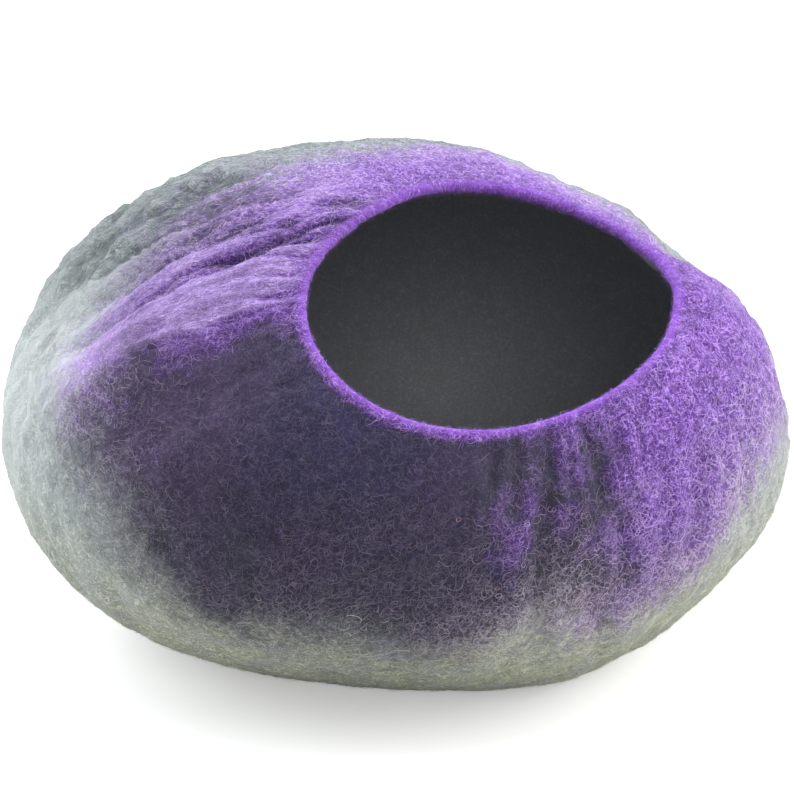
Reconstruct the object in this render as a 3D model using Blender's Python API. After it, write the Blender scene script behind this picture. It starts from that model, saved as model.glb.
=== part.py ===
# A wet-felted cat cave: one seamless hollow shell of wool with an oval mouth, standing on a flattened base.
# Metres, +Z up. The mouth faces -Y and upwards, and the base lies on the plane z = 0.
# The shell's mesh is drawn round the mouth: a turn runs anticlockwise round it, as seen from in front, from
# its right-hand corner, and a share goes from 0 at the rim to 1 at the opposite pole, in the base.
from collections import namedtuple
from math import pi, radians

import bmesh
import bpy
import numpy as np

# The body is an uneven pebble. These are its reaches from a middle point that is MIDDLE_HEIGHT up.
REACH_LEFT = 0.250
REACH_RIGHT = 0.250
REACH_FRONT = 0.217
REACH_BACK = 0.239
RISE = 0.176
DROP = 0.154
MIDDLE_HEIGHT = 0.1265
PLAN_POWER = 2.18      # 2 makes the plan an ellipse, and more makes it squarer
ROOF_POWER = 2.0
BELLY_POWER = 2.14
BASE_BLEND = 0.012     # height over which the wall turns into the flat base
FELT = 0.008           # thickness of the felt

# Broad swellings and hollows of the hand-shaped body. Azimuth 0 is the front and +90 the right, and spread
# is the angle from the middle in which a swelling falls to a third. A hollow has a negative height.
Swelling = namedtuple("Swelling", "azimuth elevation spread height")
SWELLINGS = [
    Swelling(-90, 5, 35, 0.017),
    Swelling(-90, 45, 35, 0.007),
    Swelling(90, 5, 35, -0.011),
    Swelling(90, 45, 35, -0.014),
    Swelling(-50, -20, 35, -0.018),
    Swelling(50, -20, 35, -0.009),
    Swelling(0, -25, 40, -0.004),
    Swelling(15, -38, 20, 0.007),
    Swelling(-45, 30, 30, 0.005),
    Swelling(45, 30, 30, 0.009),
    Swelling(120, 20, 35, 0.003),
    Swelling(180, 40, 40, 0.002),
    Swelling(-140, 20, 35, 0.012),
    Swelling(-140, 55, 30, 0.008),
    Swelling(140, 55, 30, 0.009),
    Swelling(-114, 38, 20, 0.006),
]

# The mouth is an oval drawn on a plane across its axis, MOUTH_PLANE from the middle, and cut in towards it
MOUTH_AZIMUTH = 3.0
MOUTH_ELEVATION = 53.5
MOUTH_PLANE = 0.175
MOUTH_LONG = 0.266
MOUTH_SHORT = 0.199
MOUTH_ROLL = 23.0

# Places where the hand-cut rim is pulled out of its oval, or pressed in where the reach is negative
Pull = namedtuple("Pull", "turn spread reach")
RIM_PULLS = [
    Pull(22, 25, 0.006),
    Pull(130, 25, -0.004),
    Pull(180, 25, 0.004),
]

# Folds of the felt, each along the great arc between two directions from the middle. Width is the distance
# either side in which a fold falls to a third, and a groove has a negative height.
Fold = namedtuple("Fold", "azimuth elevation to_azimuth to_elevation width height")
FOLDS = [
    # the shoulder where the roof meets the left front wall, and the hollow under it
    Fold(-50, 51, -84, 20, 0.014, 0.0075),
    Fold(-82, 24, -92, 4, 0.012, 0.0040),
    Fold(-46, 34, -76, 10, 0.030, -0.0065),
    # wrinkles of the left roof, which close up towards the left flank
    Fold(-62, 62, -73, 37, 0.0070, -0.0045),
    Fold(-72, 41, -89, 19, 0.0070, -0.0055),
    Fold(-76, 58, -86, 36, 0.0070, -0.0035),
    Fold(-84, 42, -92, 22, 0.0070, -0.0040),
    Fold(-90, 58, -96, 32, 0.0075, -0.0035),
    Fold(-102, 62, -101, 42, 0.0080, -0.0030),
    Fold(-112, 54, -99, 31, 0.0080, -0.0040),
    Fold(-98, 36, -106, 14, 0.0080, -0.0045),
    Fold(-117, 42, -112, 18, 0.0085, -0.0040),
    Fold(-126, 64, -104, 52, 0.0080, -0.0030),
    Fold(-128, 46, -122, 20, 0.0090, -0.0035),
    # wrinkles low on the left flank
    Fold(-96, 16, -88, -2, 0.0080, -0.0045),
    Fold(-88, 4, -82, -16, 0.0080, -0.0035),
    Fold(-80, 10, -79, -10, 0.0080, -0.0025),
    Fold(-71, -4, -75, -22, 0.0080, -0.0035),
    Fold(-66, 13, -56, -4, 0.0080, -0.0030),
    # grooves under the lower lip, right of the middle
    Fold(-11, 25, -11, 12, 0.0065, -0.0025),
    Fold(-6, 26, -8, 6, 0.0065, -0.0035),
    Fold(0, 26, -4, 2, 0.0075, -0.0045),
    Fold(-4, 8, -2, -22, 0.0085, -0.0040),
    Fold(6, 26, 8, 6, 0.0070, -0.0040),
    Fold(12, 26, 11, 13, 0.0065, -0.0030),
    Fold(10, 9, 13, -10, 0.0075, -0.0035),
    Fold(9, -10, 14, -28, 0.0075, -0.0030),
    Fold(19, 18, 19, -4, 0.0080, -0.0025),
    Fold(28, 17, 24, -8, 0.0085, -0.0035),
    Fold(38, 16, 36, -6, 0.0085, -0.0030),
    # the right shoulder, and the dip between it and the back of the roof
    Fold(47, 40, 56, 14, 0.018, 0.0040),
    Fold(57, 44, 86, 26, 0.016, -0.0065),
    Fold(78, 48, 106, 34, 0.020, 0.0040),
]

# Rows of like grooves that run down the wall, alternately long and short
GrooveRow = namedtuple("GrooveRow", "first last count top foot width height")
GROOVE_ROWS = [
    GrooveRow(120, 226, 9, 52, 0, 0.012, -0.0045),
    GrooveRow(62, 110, 5, 24, -14, 0.010, -0.0030),
    GrooveRow(-60, 0, 8, -14, -34, 0.009, -0.0020),
    GrooveRow(24, 56, 4, -12, -32, 0.009, -0.0015),
]
GROOVE_SHORTER = 0.35  # share by which every second groove of a row is shorter
GROOVE_SWAY = 3.0      # degrees that a groove of a row leans, to one side and then to the other
FOLD_FADE = 0.25       # share of a fold's length over which each end dies away
BROAD_FOLD = 0.012     # folds at least this wide also shape the inside
FOLD_FOOT = 0.016      # height over which the folds die away towards the base

# The mesh: the sectors say how finely the turns are cut, and run in order round the whole mouth
Sector = namedtuple("Sector", "first last columns")
SECTORS = [
    Sector(-60, 0, 18),
    Sector(0, 80, 22),
    Sector(80, 122, 14),
    Sector(122, 204, 38),
    Sector(204, 242, 10),
    Sector(242, 300, 22),
]
OUTER_ROWS = 34
INNER_ROWS = 18
ROW_CROWDING = 1.2     # more than 1 crowds the rows towards the rim
CAP_SHARE = 0.93       # share of the way from rim to pole at which a flat cap closes the base
LIP_STEPS = 4          # steps of the half-round lip, from outside to inside
POLE_ELEVATION = 76.0  # the rows' axis tilts to this, which puts their pole in the flat base
NEAR_RIM = 0.01        # share just below the rim, from which the felt's slope there is taken
STEP_ANGLE = 0.004     # radians either side of a point from which its normal is taken

FELT_COLOUR = (0.150, 0.085, 0.330)
FELT_ROUGHNESS = 0.95


def smoothstep(value, low, high):
    share = np.clip((value - low) / (high - low), 0.0, 1.0)
    return share * share * (3.0 - 2.0 * share)


def unit(vectors):
    return vectors / np.linalg.norm(vectors, axis=-1, keepdims=True)


def direction(azimuth, elevation):
    """Unit vector from the middle, with both angles in degrees."""
    a = radians(azimuth)
    e = radians(elevation)
    return np.array([np.sin(a) * np.cos(e), -np.cos(a) * np.cos(e), np.sin(e)])


def body_radius(way):
    """Distance from the middle to the body's skin in the unit directions way."""
    across = np.where(way[..., 0] < 0, REACH_LEFT, REACH_RIGHT)
    along = np.where(way[..., 1] < 0, REACH_FRONT, REACH_BACK)
    upright = np.where(way[..., 2] < 0, DROP, RISE)
    power = np.where(way[..., 2] < 0, BELLY_POWER, ROOF_POWER)
    plan = np.abs(way[..., 0] / across) ** PLAN_POWER + np.abs(way[..., 1] / along) ** PLAN_POWER
    radius = (plan ** (power / PLAN_POWER) + np.abs(way[..., 2] / upright) ** power) ** (-1 / power)
    for s in SWELLINGS:
        off = np.degrees(np.arccos(np.clip(way @ direction(s.azimuth, s.elevation), -1, 1)))
        radius = radius + s.height * np.exp(-(off / s.spread) ** 2)
    return radius


def body_point(way):
    """The body's skin, pressed flat where it meets the floor."""
    point = way * body_radius(way)[..., None] + np.array([0.0, 0.0, MIDDLE_HEIGHT])
    z = point[..., 2]
    turned = (z + BASE_BLEND) ** 2 / (4 * BASE_BLEND)
    point[..., 2] = np.where(z < -BASE_BLEND, 0.0, np.where(z > BASE_BLEND, z, turned))
    return point


def body_normal(way):
    """Outward normal of the body's skin."""
    level = np.abs(way[..., 2:]) < 0.9
    helper = np.where(level, np.array([0.0, 0.0, 1.0]), np.array([1.0, 0.0, 0.0]))
    side = unit(np.cross(helper, way))
    up = np.cross(way, side)
    tangents = []
    for tangent in (side, up):
        ahead = body_point(unit(way + STEP_ANGLE * tangent))
        behind = body_point(unit(way - STEP_ANGLE * tangent))
        tangents.append(ahead - behind)
    return unit(np.cross(tangents[0], tangents[1]))


def row_folds():
    """The folds of the groove rows, spread evenly from the first azimuth to the last."""
    folds = []
    for row in GROOVE_ROWS:
        for i in range(row.count):
            azimuth = row.first + (row.last - row.first) * i / (row.count - 1)
            odd = i % 2
            foot = row.foot + odd * GROOVE_SHORTER * (row.top - row.foot)
            sway = GROOVE_SWAY * (1 - 2 * odd)
            folds.append(Fold(azimuth, row.top, azimuth + sway, foot, row.width, row.height))
    return folds


def fold_height(way, folds):
    """How far the folds lift the felt in the directions way."""
    total = np.zeros(way.shape[:-1])
    radius = body_radius(way)
    for fold in folds:
        start = direction(fold.azimuth, fold.elevation)
        end = direction(fold.to_azimuth, fold.to_elevation)
        pole = unit(np.cross(start, end))
        onward = np.cross(pole, start)
        length = np.arctan2(end @ onward, end @ start)
        along = np.arctan2(way @ onward, way @ start) / length
        across = radius * np.arcsin(np.clip(way @ pole, -1, 1))
        window = smoothstep(along, 0, FOLD_FADE) * smoothstep(1 - along, 0, FOLD_FADE)
        total = total + fold.height * window * np.exp(-(across / fold.width) ** 2)
    return total


def rim_angle(turn):
    """Angle between the mouth's axis and its rim, seen from the middle."""
    off = turn - radians(MOUTH_ROLL)
    reach = ((np.cos(off) / (MOUTH_LONG / 2)) ** 2 + (np.sin(off) / (MOUTH_SHORT / 2)) ** 2) ** -0.5
    for pull in RIM_PULLS:
        away = (np.degrees(turn) - pull.turn + 180) % 360 - 180
        reach = reach + pull.reach * np.exp(-(away / pull.spread) ** 2)
    return np.arctan(reach / MOUTH_PLANE)


def way_at(turn, share):
    """Direction from the middle at a turn round the mouth and a share of the way from rim to pole."""
    start = rim_angle(turn)
    angle = start + (pi - start) * share
    tilt = np.radians(MOUTH_ELEVATION + (POLE_ELEVATION - MOUTH_ELEVATION) * smoothstep(share, 0.0, 1.0))
    right = direction(MOUTH_AZIMUTH + 90, 0)
    front = direction(MOUTH_AZIMUTH, 0)
    up = np.array([0.0, 0.0, 1.0])
    axis = np.cos(tilt)[..., None] * front + np.sin(tilt)[..., None] * up
    over = np.cos(tilt)[..., None] * up - np.sin(tilt)[..., None] * front
    spoke = np.cos(turn)[..., None] * right + np.sin(turn)[..., None] * over
    return np.cos(angle)[..., None] * axis + np.sin(angle)[..., None] * spoke


def shell_points(turn, share, folds, depth):
    """Points of the folded felt at a depth below its skin."""
    way = way_at(turn, share)
    point = body_point(way)
    lift = fold_height(way, folds) * smoothstep(point[..., 2], 0, FOLD_FOOT)
    point = point + body_normal(way) * (lift - depth)[..., None]
    point[..., 2] = np.maximum(point[..., 2], depth)
    return point


def mouth_turns():
    """Turns of the mesh's columns, sector by sector, in radians."""
    turns = [np.linspace(s.first, s.last, s.columns, endpoint=False) for s in SECTORS]
    return np.radians(np.concatenate(turns))


def lip_rings(turns, folds):
    """Half-round lip between the outer skin's edge and the inner skin's."""
    rim = np.zeros_like(turns)
    edge = shell_points(turns, rim, folds, 0.0)
    below = shell_points(turns, rim + NEAR_RIM, folds, 0.0)
    out = body_normal(way_at(turns, rim))
    inward = edge - below
    inward = unit(inward - out * np.sum(inward * out, axis=-1, keepdims=True))
    centre = edge - out * FELT / 2
    angles = [pi * step / LIP_STEPS for step in range(1, LIP_STEPS)]
    rings = [centre + FELT / 2 * (np.cos(a) * out + np.sin(a) * inward) for a in angles]
    return rings, edge[::2] - out[::2] * FELT


def shell_rings():
    """Rings from the middle of the base's outside, up over the lip and down to the base's inside."""
    folds = FOLDS + row_folds()
    broad = [fold for fold in FOLDS if fold.width >= BROAD_FOLD]
    turns = mouth_turns()
    shares = CAP_SHARE * np.linspace(0, 1, OUTER_ROWS) ** ROW_CROWDING
    outer = [shell_points(turns, np.full_like(turns, share), folds, 0.0) for share in shares]
    lip, inner_edge = lip_rings(turns, folds)
    halved = turns[::2]
    shares = CAP_SHARE * np.linspace(0, 1, INNER_ROWS) ** ROW_CROWDING
    inner = [shell_points(halved, np.full_like(halved, share), broad, FELT) for share in shares[1:]]
    return outer[::-1] + lip + [inner_edge] + inner


def join_rings(mesh, first, second):
    """Faces between two neighbouring rings. The second may have half as many points."""
    count = len(first)
    for i in range(count):
        after = (i + 1) % count
        if len(second) == count:
            mesh.faces.new((first[i], first[after], second[after], second[i]))
        elif i % 2 == 0:
            near = second[i // 2]
            far = second[(i // 2 + 1) % len(second)]
            last = first[(i + 2) % count]
            mesh.faces.new((first[i], first[after], near))
            mesh.faces.new((first[after], far, near))
            mesh.faces.new((first[after], last, far))


def felt_material():
    material = bpy.data.materials.new("felt")
    material.use_nodes = True
    shader = material.node_tree.nodes["Principled BSDF"]
    shader.inputs["Base Color"].default_value = (*FELT_COLOUR, 1.0)
    shader.inputs["Roughness"].default_value = FELT_ROUGHNESS
    shader.inputs["Metallic"].default_value = 0.0
    return material


def felt_shell():
    """One closed mesh, shifted so that the origin is under the middle of its box."""
    rings = shell_rings()
    everything = np.concatenate(rings)
    middle = (everything.min(axis=0) + everything.max(axis=0)) / 2
    shift = np.array([middle[0], middle[1], 0.0])
    shape = bmesh.new()
    corners = [[shape.verts.new(point - shift) for point in ring] for ring in rings]
    for first, second in zip(corners, corners[1:]):
        join_rings(shape, first, second)
    shape.faces.new(corners[0])
    shape.faces.new(corners[-1])
    bmesh.ops.recalc_face_normals(shape, faces=shape.faces)
    mesh = bpy.data.meshes.new("felt_shell")
    shape.to_mesh(mesh)
    shape.free()
    mesh.shade_smooth()
    mesh.materials.append(felt_material())
    shell = bpy.data.objects.new("felt_shell", mesh)
    bpy.context.scene.collection.objects.link(shell)
    return shell


for old in list(bpy.data.objects):
    bpy.data.objects.remove(old)
felt_shell()
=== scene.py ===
from functools import partial, reduce
from math import cos, pi, radians, sin

import bpy
import numpy as np
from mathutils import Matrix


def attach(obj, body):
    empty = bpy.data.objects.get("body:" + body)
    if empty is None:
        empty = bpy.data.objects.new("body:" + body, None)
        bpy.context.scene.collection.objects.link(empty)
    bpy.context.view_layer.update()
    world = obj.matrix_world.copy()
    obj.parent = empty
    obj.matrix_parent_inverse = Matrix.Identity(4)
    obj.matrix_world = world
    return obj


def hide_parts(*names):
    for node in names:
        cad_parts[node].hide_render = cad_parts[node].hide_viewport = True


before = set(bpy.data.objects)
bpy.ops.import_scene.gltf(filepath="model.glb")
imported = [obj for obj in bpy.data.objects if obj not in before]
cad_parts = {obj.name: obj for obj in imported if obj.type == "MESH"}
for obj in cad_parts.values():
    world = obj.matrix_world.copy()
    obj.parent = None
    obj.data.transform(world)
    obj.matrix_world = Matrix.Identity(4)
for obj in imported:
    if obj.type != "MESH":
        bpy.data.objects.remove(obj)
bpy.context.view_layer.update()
print("stage: frame loaded")


# Shape of the felt: the same named sizes as the solid's.
body = {
    "reachLeft": 0.25,
    "reachRight": 0.25,
    "reachFront": 0.217,
    "reachBack": 0.239,
    "rise": 0.176,
    "drop": 0.154,
    "middleHeight": 0.1265,
    "planPower": 2.18,
    "roofPower": 2.0,
    "bellyPower": 2.14,
    "baseBlend": 0.012,  # height over which the wall turns into the flat base
    "stepAngle": 0.004,  # radians to either side, for a point's normal
    # azimuth, elevation, spread in degrees, height
    "swellings": [
        (-90, 5, 35, 0.017), (-90, 45, 35, 0.007), (90, 5, 35, -0.011), (90, 45, 35, -0.014),
        (-50, -20, 35, -0.018), (50, -20, 35, -0.009), (0, -25, 40, -0.004), (15, -38, 20, 0.007),
        (-45, 30, 30, 0.005), (45, 30, 30, 0.009), (120, 20, 35, 0.003), (180, 40, 40, 0.002),
        (-140, 20, 35, 0.012), (-140, 55, 30, 0.008), (140, 55, 30, 0.009), (-114, 38, 20, 0.006),
    ],
}

mouth = {
    "azimuth": 3.0,
    "elevation": 53.5,
    "plane": 0.175,
    "long": 0.266,
    "short": 0.199,
    "roll": 23.0,
    "poleElevation": 76.0,
    # turn, spread, reach of each place where the rim leaves its oval
    "pulls": [(22, 25, 0.006), (130, 25, -0.004), (180, 25, 0.004)],
}

folds = {
    "fade": 0.25,
    "foot": 0.016,
    "broad": 0.012,  # folds at least this wide also shape the inside
    "shorter": 0.35,
    "sway": 3.0,
    # azimuth, elevation, azimuth, elevation of the ends, width, height; a groove's height is negative
    "main": [
        (-50, 51, -84, 20, 0.014, 0.0075), (-82, 24, -92, 4, 0.012, 0.004),
        (-46, 34, -76, 10, 0.03, -0.0065), (-62, 62, -73, 37, 0.007, -0.0045),
        (-72, 41, -89, 19, 0.007, -0.0055), (-76, 58, -86, 36, 0.007, -0.0035),
        (-84, 42, -92, 22, 0.007, -0.004), (-90, 58, -96, 32, 0.0075, -0.0035),
        (-102, 62, -101, 42, 0.008, -0.003), (-112, 54, -99, 31, 0.008, -0.004),
        (-98, 36, -106, 14, 0.008, -0.0045), (-117, 42, -112, 18, 0.0085, -0.004),
        (-126, 64, -104, 52, 0.008, -0.003), (-128, 46, -122, 20, 0.009, -0.0035),
        (-96, 16, -88, -2, 0.008, -0.0045), (-88, 4, -82, -16, 0.008, -0.0035),
        (-80, 10, -79, -10, 0.008, -0.0025), (-71, -4, -75, -22, 0.008, -0.0035),
        (-66, 13, -56, -4, 0.008, -0.003), (-11, 25, -11, 12, 0.0065, -0.0025),
        (-6, 26, -8, 6, 0.0065, -0.0035), (0, 26, -4, 2, 0.0075, -0.0045),
        (-4, 8, -2, -22, 0.0085, -0.004), (6, 26, 8, 6, 0.007, -0.004),
        (12, 26, 11, 13, 0.0065, -0.003), (10, 9, 13, -10, 0.0075, -0.0035),
        (9, -10, 14, -28, 0.0075, -0.003), (19, 18, 19, -4, 0.008, -0.0025),
        (28, 17, 24, -8, 0.0085, -0.0035), (38, 16, 36, -6, 0.0085, -0.003),
        (47, 40, 56, 14, 0.018, 0.004), (57, 44, 86, 26, 0.016, -0.0065),
        (78, 48, 106, 34, 0.02, 0.004),
    ],
    # first and last azimuth, count, top and foot elevation, width, height
    "rows": [
        (120, 226, 9, 52, 0, 0.012, -0.0045),
        (62, 110, 5, 24, -14, 0.01, -0.003),
        (-60, 0, 8, -14, -34, 0.009, -0.002),
        (24, 56, 4, -12, -32, 0.009, -0.0015),
    ],
    # small creases, too fine for the solid, in the columns of main
    "small": [
        (-58, 58, -70, 44, 0.0035, -0.0026), (-66, 60, -80, 42, 0.0035, -0.0022),
        (-80, 46, -88, 30, 0.0035, -0.0026), (-68, 38, -82, 24, 0.0035, -0.0022),
        (-92, 48, -98, 28, 0.004, -0.0026), (-96, 56, -98, 40, 0.004, -0.0022),
        (-106, 46, -104, 26, 0.004, -0.0026), (-108, 62, -106, 50, 0.004, -0.0022),
        (-94, 26, -98, 8, 0.004, -0.0026), (-86, 18, -88, 6, 0.004, -0.0022),
        (-100, 18, -96, 0, 0.004, -0.0022), (-56, 46, -72, 30, 0.0035, 0.0019),
        (-9, 22, -13, 8, 0.0035, -0.0012), (-3, 22, -5, 10, 0.0035, -0.0014),
        (3, 24, 2, 10, 0.0035, -0.0014), (9, 24, 9, 12, 0.0035, -0.0012),
        (4, 4, 6, -12, 0.004, -0.0012), (16, 22, 15, 8, 0.0035, -0.0012),
        (23, 20, 22, 4, 0.004, -0.0012), (33, 18, 31, 2, 0.004, -0.0012),
    ],
}


def smoothstep(value, low, high):
    share = np.clip((value - low) / (high - low), 0.0, 1.0)
    return share * share * (3.0 - 2.0 * share)


def unit(vectors):
    return vectors / np.linalg.norm(vectors, axis=-1, keepdims=True)


def direction(azimuth, elevation):
    a, e = radians(azimuth), radians(elevation)
    return np.array([sin(a) * cos(e), -cos(a) * cos(e), sin(e)])


def bodyRadius(way):
    x, y, z = way[..., 0], way[..., 1], way[..., 2]
    across = np.where(x < 0, body["reachLeft"], body["reachRight"])
    along = np.where(y < 0, body["reachFront"], body["reachBack"])
    upright = np.where(z < 0, body["drop"], body["rise"])
    power = np.where(z < 0, body["bellyPower"], body["roofPower"])
    plan = np.abs(x / across) ** body["planPower"] + np.abs(y / along) ** body["planPower"]
    radius = (plan ** (power / body["planPower"]) + np.abs(z / upright) ** power) ** (-1 / power)
    for azimuth, elevation, spread, height in body["swellings"]:
        off = np.degrees(np.arccos(np.clip(way @ direction(azimuth, elevation), -1, 1)))
        radius = radius + height * np.exp(-(off / spread) ** 2)
    return radius


def bodyPoint(way):
    point = way * bodyRadius(way)[..., None] + np.array([0.0, 0.0, body["middleHeight"]])
    z, blend = point[..., 2], body["baseBlend"]
    point[..., 2] = np.where(z < -blend, 0.0, np.where(z > blend, z, (z + blend) ** 2 / (4 * blend)))
    return point


def bodyNormal(way):
    level = np.abs(way[..., 2:]) < 0.9
    side = unit(np.cross(np.where(level, [0.0, 0.0, 1.0], [1.0, 0.0, 0.0]), way))
    tangents = []
    for tangent in (side, np.cross(way, side)):
        ahead = bodyPoint(unit(way + body["stepAngle"] * tangent))
        behind = bodyPoint(unit(way - body["stepAngle"] * tangent))
        tangents.append(ahead - behind)
    return unit(np.cross(tangents[0], tangents[1]))


def rowFolds():
    made = []
    for first, last, count, top, foot, width, height in folds["rows"]:
        for i in range(count):
            azimuth = first + (last - first) * i / (count - 1)
            odd = i % 2
            low = foot + odd * folds["shorter"] * (top - foot)
            made.append((azimuth, top, azimuth + folds["sway"] * (1 - 2 * odd), low, width, height))
    return made


def foldHeight(way, rows):
    total = np.zeros(way.shape[:-1])
    radius = bodyRadius(way)
    for azimuth, elevation, toAzimuth, toElevation, width, height in rows:
        start, end = direction(azimuth, elevation), direction(toAzimuth, toElevation)
        pole = unit(np.cross(start, end))
        onward = np.cross(pole, start)
        length = np.arctan2(end @ onward, end @ start)
        along = np.arctan2(way @ onward, way @ start) / length
        across = radius * np.arcsin(np.clip(way @ pole, -1, 1))
        window = smoothstep(along, 0, folds["fade"]) * smoothstep(1 - along, 0, folds["fade"])
        total = total + height * window * np.exp(-(across / width) ** 2)
    return total


def rimAngle(turn):
    off = turn - radians(mouth["roll"])
    reach = ((np.cos(off) * 2 / mouth["long"]) ** 2 + (np.sin(off) * 2 / mouth["short"]) ** 2) ** -0.5
    for at, spread, pull in mouth["pulls"]:
        away = (np.degrees(turn) - at + 180) % 360 - 180
        reach = reach + pull * np.exp(-(away / spread) ** 2)
    return np.arctan(reach / mouth["plane"])


def wayAt(turn, share):
    start = rimAngle(turn)
    angle = start + (pi - start) * share
    lean = mouth["poleElevation"] - mouth["elevation"]
    tilt = np.radians(mouth["elevation"] + lean * smoothstep(share, 0.0, 1.0))[..., None]
    right, front = direction(mouth["azimuth"] + 90, 0), direction(mouth["azimuth"], 0)
    up = np.array([0.0, 0.0, 1.0])
    axis = np.cos(tilt) * front + np.sin(tilt) * up
    over = np.cos(tilt) * up - np.sin(tilt) * front
    spoke = np.cos(turn)[..., None] * right + np.sin(turn)[..., None] * over
    return np.cos(angle)[..., None] * axis + np.sin(angle)[..., None] * spoke


def latticeValue(x, y, z, seed):  # a fixed random number from -1 to 1 for each lattice corner
    n = x * np.int64(374761393) + y * np.int64(668265263) + z * np.int64(1103515245) + seed * 40503
    n = (n ^ (n >> 13)) * np.int64(1274126177)
    n = n ^ (n >> 16)
    return (n & 0xFFFF) / 32767.5 - 1.0


def softNoise(points, size, seed):  # smooth lumps about size across, from -1 to 1
    scaled = points / size
    corner = np.floor(scaled).astype(np.int64)
    part = scaled - corner
    part = part * part * part * (part * (part * 6 - 15) + 10)
    total = 0.0
    for step in np.ndindex(2, 2, 2):
        near = [np.abs(1 - d - part[..., axis]) for axis, d in enumerate(step)]
        at = [corner[..., axis] + d for axis, d in enumerate(step)]
        total = total + near[0] * near[1] * near[2] * latticeValue(*at, seed)
    return total


# The felt itself: one closed skin over both faces and the round lip between them.
skin = {
    "felt": 0.008,
    # first and last turn, columns
    "sectors": [(-60, 0, 80), (0, 80, 100), (80, 122, 76), (122, 204, 150), (204, 242, 50), (242, 300, 100)],
    "outerRows": 148,
    "innerRows": 26,
    "crowding": 1.5,  # more than 1 crowds the rows towards the rim
    "capShare": 0.93,
    "nearRim": 0.01,
    "lipSteps": 7,
    "meanRadius": 0.2,  # of the turns, for the streaks
    "streakStretch": 4.5,  # how many times longer than wide they are
    "lumps": [(0.07, 0.0016), (0.03, 0.0011), (0.013, 0.0008), (0.0075, 0.0007)],  # size, height
    "combed": [(0.0155, 0.0021), (0.0086, 0.002), (0.005, 0.0014)],  # width, height of the combed ridges
    "combSway": [(0.045, 0.008), (0.018, 0.003)],  # size, distance of the streaks' meander
    "combAxis": (-87, 14),  # azimuth and elevation of the place the roof's left is combed towards
    "combFree": (8, 26),  # degrees from that place where the combing fades out
    "combUp": (0.0, 0.6),  # sine of their slope there, so only those from above are combed
    "combedTurns": (106, 132, 173, 184),  # the combing starts, is full, starts to end, has ended
    "combedElsewhere": 0.3,
    "slateCalm": 0.65,  # how much smoother the felt is where the slate wool and its painted shade lie
    "calmTurns": (172, 184, 236, 268),  # the slate wall, darkened partly with painted shade, is felted smoothest
    "calmSoftness": 0.3,
    "crestLift": 0.0052,  # relief from a crease, dark with painted shade, to a crest, pale with painted highlight
    "crestMiddle": 0.0017,  # relief that is neither crest nor crease
    "crestOfFolds": 0.4,
    "crestElsewhere": 0.25,
    "ridgeTurns": (148, 163, 171, 179),  # the shoulder's ridge gets the palest painted highlight
    "ridgeCrest": 0.34,
    "calmRim": 0.01,  # the relief is gentler nearer to the rim than this
    "rimRelief": 0.35,  # and this much of it is left at the rim
    "innerLumps": [(0.05, 0.0012), (0.02, 0.0006)],
    # slate wool and painted shade worked into the violet: by turn, under the left shoulder and round the
    # front, and in patches of azimuth, elevation, spread in degrees, amount
    "slateTurns": (171, 188, 238, 272),
    "slateLean": 5.0,  # degrees by which it starts sooner away from the rim
    "leanRuns": (0.05, 0.11),
    "slateAlong": 0.92,
    "slatePatches": [(-26, 4, 22, 0.45), (8, 10, 9, 0.62), (6, -3, 9, 0.42), (-3, 10, 7, -0.38)],
    "slateAtEnd": 0.4,  # more of it lower down on the right of the front
    "endRuns": (-0.075, -0.025),
    "endTurns": (238, 252, 288, 304),
    "patches": {
        "plum": [(-64, 16, 13, 0.8), (-50, 28, 12, 0.7), (-34, 4, 9, 0.25), (-14, 14, 9, 0.5)],
        "ink": [(-29, 24, 15, 0.9)],
        "frost": [(-90, 26, 16, 0.85), (-70, 36, 10, 0.5), (-104, 42, 10, -0.3)],  # paler wool, and painted light on the left flank
    },
    "slateFree": (0.001, 0.006),  # the rim's edge stays violet
    "grooveTurns": (232, 250, 268, 290),  # the painted shade in the grooves is deepest in these turns, where slate wool shows in them too
    "grooveElsewhere": 0.45,
    "softTurns": (96, 122, 152, 168),  # the violet thins out slowest over the left of the roof
    "softness": 0.5,
    "rimBand": (0.003, 0.009),  # a painted highlight: the brightest violet lies this near to the lip's middle
    "dyedInside": (0.009, 0.022),  # how far round the lip charcoal takes over
    "deepGroove": 0.006,
    # turn, and how far from the rim the violet wool ends there
    "violetEnds": [
        (0, 0.094), (8, 0.066), (15, 0.042), (22, 0.036), (30, 0.041), (38, 0.053), (48, 0.068), (64, 0.08),
        (87, 0.072), (105, 0.08), (115, 0.09), (126, 0.101), (136, 0.109), (148, 0.113), (157, 0.128),
        (162, 0.146), (170, 0.16), (176, 0.16), (186, 0.158), (192, 0.161), (198, 0.168), (208, 0.178),
        (214, 0.177), (221, 0.163), (232, 0.156), (241, 0.157), (253, 0.151), (257, 0.143), (264, 0.125),
        (271, 0.135), (277, 0.152), (289, 0.15), (297, 0.15), (301, 0.134), (307, 0.117), (315, 0.115),
        (324, 0.119), (336, 0.127), (350, 0.118),
    ],
}


# Round noise in these coordinates comes out as streaks that run away from the mouth.
def streakPoints(point, turn, run):
    r = skin["meanRadius"]
    turn = turn + lumpHeight(point, skin["combSway"], 71) / r
    return np.stack([r * np.cos(turn), r * np.sin(turn), run / skin["streakStretch"]], axis=-1)


def combAngles(point):  # round the combing's axis, and away from it
    axis = direction(*skin["combAxis"])
    side = unit(np.cross(axis, [0.0, 0.0, 1.0]))
    way = unit(point - np.array([0.0, 0.0, body["middleHeight"]]))
    return np.arctan2(way @ np.cross(side, axis), way @ side), np.arccos(np.clip(way @ axis, -1, 1))


def combPoints(point):  # and in these as streaks along the combing
    r = skin["meanRadius"]
    bearing, off = combAngles(point)
    bearing = bearing + lumpHeight(point, skin["combSway"], 75) / r
    return np.stack([r * np.cos(bearing), r * np.sin(bearing), r * off / skin["streakStretch"]], axis=-1)


def combing(point, turn):
    bearing, off = combAngles(point)
    share = smoothstep(np.degrees(off), *skin["combFree"]) * smoothstep(np.sin(bearing), *skin["combUp"])
    return share * between(turn, *skin["combedTurns"])


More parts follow.
